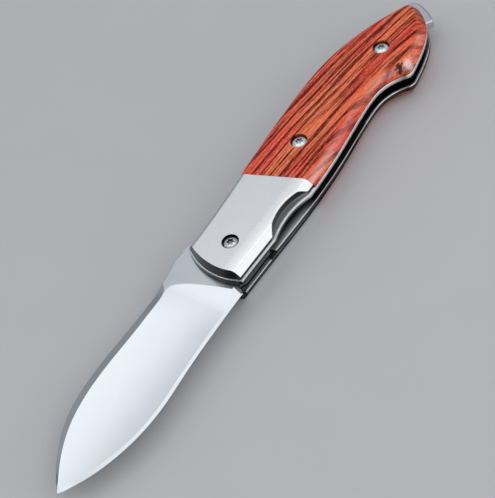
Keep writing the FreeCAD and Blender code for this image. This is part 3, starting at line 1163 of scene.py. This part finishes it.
@dataclass
class Frame(SubAssembly):
    """The liners, the lock bar, the back spacer and its pins."""

    colour: Colour = (0.90, 0.90, 0.91)
    spacer_colour: Colour = (0.66, 0.66, 0.68)
    liner_roughness: float = 0.2
    spring_roughness: float = 0.5
    spacer_roughness: float = 0.22
    pin_roughness: float = 0.16

    def finishes(self) -> Dict[str, Finish]:
        """Fits the finishes to the liners and what lies between them.

        Returns:
            The finish of each piece.
        """
        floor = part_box("rear_liner")[1].z / MILLIMETRE
        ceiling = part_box("front_liner")[0].z / MILLIMETRE
        inside = {"middle": (floor + ceiling) / 2, "inner_half": (ceiling - floor) / 2}
        # Liner walls carry painted shade, with painted highlights beside the wood and along their
        # edges; the lock bar carries painted shade in the slot.
        front = LinerSteel(
            "front_liner_steel",
            colour=self.colour,
            roughness=self.liner_roughness,
            painted_wall_shade=0.10,
            beside_wood_painted_tone=1.15,
            edge=1.1,
            outer_half=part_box("front_liner")[1].z / MILLIMETRE - inside["middle"],
            lip_painted_light=0.9,
            **inside,
        )
        rear = LinerSteel(
            "rear_liner_steel",
            colour=self.colour,
            roughness=self.liner_roughness,
            painted_wall_shade=0.08,
            beside_wood_painted_tone=0.08,
            strip_painted_light=1.05,
            edge=0.8,
            **inside,
        )
        spring = SpringSteel(
            "spring_steel",
            colour=self.colour,
            roughness=self.spring_roughness,
            painted_wall_shade=0.08,
            edge=0.4,
            inner_face=floor,
        )
        spacer = Steel("spacer_steel", self.spacer_colour, self.spacer_roughness)
        ground = Steel("pin_steel", self.colour, self.pin_roughness)
        return {
            "front_liner": front,
            "rear_liner": rear,
            "lock_bar": spring,
            "detent_ball": ground,
            "back_spacer": spacer,
            "spacer_pins": ground,
        }


def crown(front: str, rear: str) -> Dict[str, float]:
    """The middle of two facing screws and how far their heads reach from it, in millimetres.

    Args:
        front: The front screw's node.
        rear: The rear screw's node.

    Returns:
        Both, by a screw finish's field names.
    """
    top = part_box(front)[1].z / MILLIMETRE
    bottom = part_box(rear)[0].z / MILLIMETRE
    return {"middle": (top + bottom) / 2, "outer": (top - bottom) / 2}


@dataclass
class Pivot(SubAssembly):
    """The barrel, its washers, the stop pin and the pivot screws."""

    screw_colour: Colour = (0.84, 0.86, 0.87)
    screw_roughness: float = 0.10
    pin_colour: Colour = (0.84, 0.84, 0.84)
    pin_roughness: float = 0.16
    washer_colour: Colour = (0.72, 0.45, 0.20)
    washer_roughness: float = 0.3

    def finishes(self) -> Dict[str, Finish]:
        """Fits the finishes to the pivot.

        Returns:
            The finish of each piece.
        """
        ground = Steel("pivot_steel", self.pin_colour, self.pin_roughness)
        bronze = Steel("rolled_bronze", self.washer_colour, self.washer_roughness)
        # Painted shade on the screw head's rim, socket and walls.
        polished = ScrewSteel(
            "pivot_screw_steel",
            colour=self.screw_colour,
            roughness=self.screw_roughness,
            line_depth=0.001,
            painted_wall_shade=0.25,
            rim_painted_shade=0.12,
            socket_painted_shade=0.6,
            **crown("front_pivot_screw", "rear_pivot_screw"),
        )
        return {
            "pivot_barrel": ground,
            "stop_pin": ground,
            "front_washer": bronze,
            "rear_washer": bronze,
            "front_pivot_screw": polished,
            "rear_pivot_screw": polished,
        }


@dataclass
class ScaleScrews(SubAssembly):
    """The button-head screws that hold the scales."""

    colour: Colour = (0.89, 0.96, 0.98)
    roughness: float = 0.10

    def finishes(self) -> Dict[str, Finish]:
        """Fits the finish to the screws.

        Returns:
            The finish of each piece.
        """
        # Painted shade on the screw heads' rims, sockets and walls.
        polished = ScrewSteel(
            "scale_screw_steel",
            colour=self.colour,
            roughness=self.roughness,
            line_depth=0.001,
            painted_wall_shade=0.35,
            rim_painted_shade=0.55,
            socket_painted_shade=0.9,
            **crown("front_scale_screws", "rear_scale_screws"),
        )
        return {"front_scale_screws": polished, "rear_scale_screws": polished}


@dataclass(frozen=True)
class SoftBox:
    """A rectangular studio lamp aimed at the knife, in metres."""

    name: str
    direction: Triple
    distance: float
    width: float
    height: float
    radiance: float

    def build(self, target: Vector) -> None:
        """Adds the lamp.

        Args:
            target: The point that it faces.
        """
        lamp = bpy.data.lights.new(self.name, "AREA")
        lamp.shape = "RECTANGLE"
        lamp.size = self.width
        lamp.size_y = self.height
        lamp.energy = self.radiance * math.pi * self.width * self.height
        stand = bpy.data.objects.new(self.name, lamp)
        away = Vector(self.direction).normalized()
        stand.location = target + away * self.distance
        stand.rotation_euler = away.to_track_quat("Z", "Y").to_euler()
        bpy.context.scene.collection.objects.link(stand)
        log.info("Lamp %s", self.name)


LAMPS: Tuple[SoftBox, ...] = (
    SoftBox("overhead_box", (0.0, 0.0, 1.0), distance=1.0, width=1.14, height=1.30, radiance=0.47),
    SoftBox("key_box", (0.42, -0.64, 0.65), distance=0.9, width=1.3, height=0.5, radiance=0.50),
    SoftBox("fill_box", (-0.52, -0.62, 0.58), distance=0.9, width=1.0, height=0.6, radiance=0.64),
    SoftBox("rear_box", (-0.50, 0.62, 0.60), distance=0.9, width=1.0, height=0.6, radiance=0.55),
    SoftBox("front_box", (0.42, -0.90, 0.21), distance=0.8, width=1.4, height=0.36, radiance=0.88),
)


@dataclass
class PhotoCamera:
    """The camera that took the photograph, in the knife's frame: degrees, pixels, millimetres."""

    azimuth: float = -38.7
    elevation: float = 48.0
    roll: float = 21.8
    focal_pixels: float = 2300.0
    pixels_per_millimetre: float = 3.95
    image_pixels: Tuple[int, int] = (495, 498)
    aim_pixel: Tuple[float, float] = (230.0, 241.0)
    aim: Triple = (0.0, 0.0, 11.9)
    sensor: float = 36.0

    def axes(self) -> Tuple[Vector, Vector, Vector]:
        """Works out how the camera is turned.

        Returns:
            Its directions to the right, up and back.
        """
        turn, lift, tilt = map(math.radians, (self.azimuth, self.elevation, self.roll))
        out = math.cos(lift)
        back = Vector((math.sin(turn) * out, -math.cos(turn) * out, math.sin(lift)))
        level = Vector((math.cos(turn), math.sin(turn), 0.0))
        upright = back.cross(level)
        right = level * math.cos(tilt) - upright * math.sin(tilt)
        up = upright * math.cos(tilt) + level * math.sin(tilt)
        return right, up, back

    def build(self) -> None:
        """Adds the camera and makes it the scene's."""
        right, up, back = self.axes()
        depth = self.focal_pixels / self.pixels_per_millimetre
        aside = (self.aim_pixel[0] - self.image_pixels[0] / 2) / self.pixels_per_millimetre
        above = (self.image_pixels[1] / 2 - self.aim_pixel[1]) / self.pixels_per_millimetre
        spot = (Vector(self.aim) + back * depth - right * aside - up * above) * MILLIMETRE
        lens = bpy.data.cameras.new("photo_camera")
        lens.sensor_fit = "HORIZONTAL"
        lens.sensor_width = self.sensor
        lens.lens = self.sensor * self.focal_pixels / self.image_pixels[0]
        lens.clip_start = MILLIMETRE
        camera = bpy.data.objects.new("photo_camera", lens)
        turned = Matrix((right, up, back)).transposed().to_4x4()
        camera.matrix_world = Matrix.Translation(spot) @ turned
        bpy.context.scene.collection.objects.link(camera)
        bpy.context.scene.camera = camera
        log.info("Camera at %s", [round(v, 4) for v in spot])


@dataclass
class Studio:
    """Pale floor, soft lamps, plain surroundings and the camera."""

    lamps: Sequence[SoftBox]
    camera: PhotoCamera
    floor_reach: float = 3.0
    floor_gap: float = 0.05
    sky: Stops = (
        (0.0, (0.13, 0.13, 0.14)),
        (0.3, (0.22, 0.22, 0.24)),
        (0.72, (0.56, 0.58, 0.63)),
        (0.88, (0.57, 0.58, 0.61)),
        (1.0, (0.46, 0.465, 0.48)),
    )
    dim_tone: float = 0.3
    dim_across: Limits = (-0.55, 0.15)

    def build(self, knife: Corners) -> None:
        """Adds all of it around the knife.

        Args:
            knife: The knife's lowest and highest corner.
        """
        self._floor(knife[0].z - self.floor_gap * MILLIMETRE)
        self._surroundings()
        for lamp in self.lamps:
            lamp.build((knife[0] + knife[1]) / 2)
        self.camera.build()
        bpy.context.scene.view_settings.view_transform = "Standard"

    def _floor(self, level: float) -> None:
        """Adds the floor.

        Args:
            level: Its height.
        """
        sheet = bmesh.new()
        bmesh.ops.create_grid(sheet, x_segments=2, y_segments=2, size=self.floor_reach)
        bmesh.ops.translate(sheet, vec=(0.0, 0.0, level), verts=sheet.verts)
        mesh = bpy.data.meshes.new("floor")
        sheet.to_mesh(mesh)
        sheet.free()
        mesh.materials.append(Paper("pale_floor").material())
        floor = bpy.data.objects.new("floor", mesh)
        bpy.context.scene.collection.objects.link(floor)
        floor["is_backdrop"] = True
        log.info("Floor at %.5f", level)

    def _surroundings(self) -> None:
        """Fills the world with a soft rise from horizon to zenith, dim on the blade's side."""
        world = bpy.data.worlds.new("studio")
        world.use_nodes = True
        bpy.context.scene.world = world
        shader = Shader(world.node_tree)
        across, _, height = shader.parts(shader.node("ShaderNodeTexCoord", output="Generated"))
        side = across.rise(*self.dim_across)
        sky = shader.tinted(shader.ramp(height, self.sky), side.blend(self.dim_tone, 1.0))
        light = shader.node("ShaderNodeBackground", None, {"Color": sky})
        shader.node("ShaderNodeOutputWorld", None, {"Surface": light})


def main() -> None:
    """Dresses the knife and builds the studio."""
    logging.basicConfig(level=logging.INFO, format="%(message)s")
    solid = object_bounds()
    for assembly in (Blade(), Bolsters(), Scales(), Frame(), Pivot(), ScaleScrews()):
        assembly.dress()
    Studio(LAMPS, PhotoCamera()).build(solid)


if __name__ == "__main__":
    main()
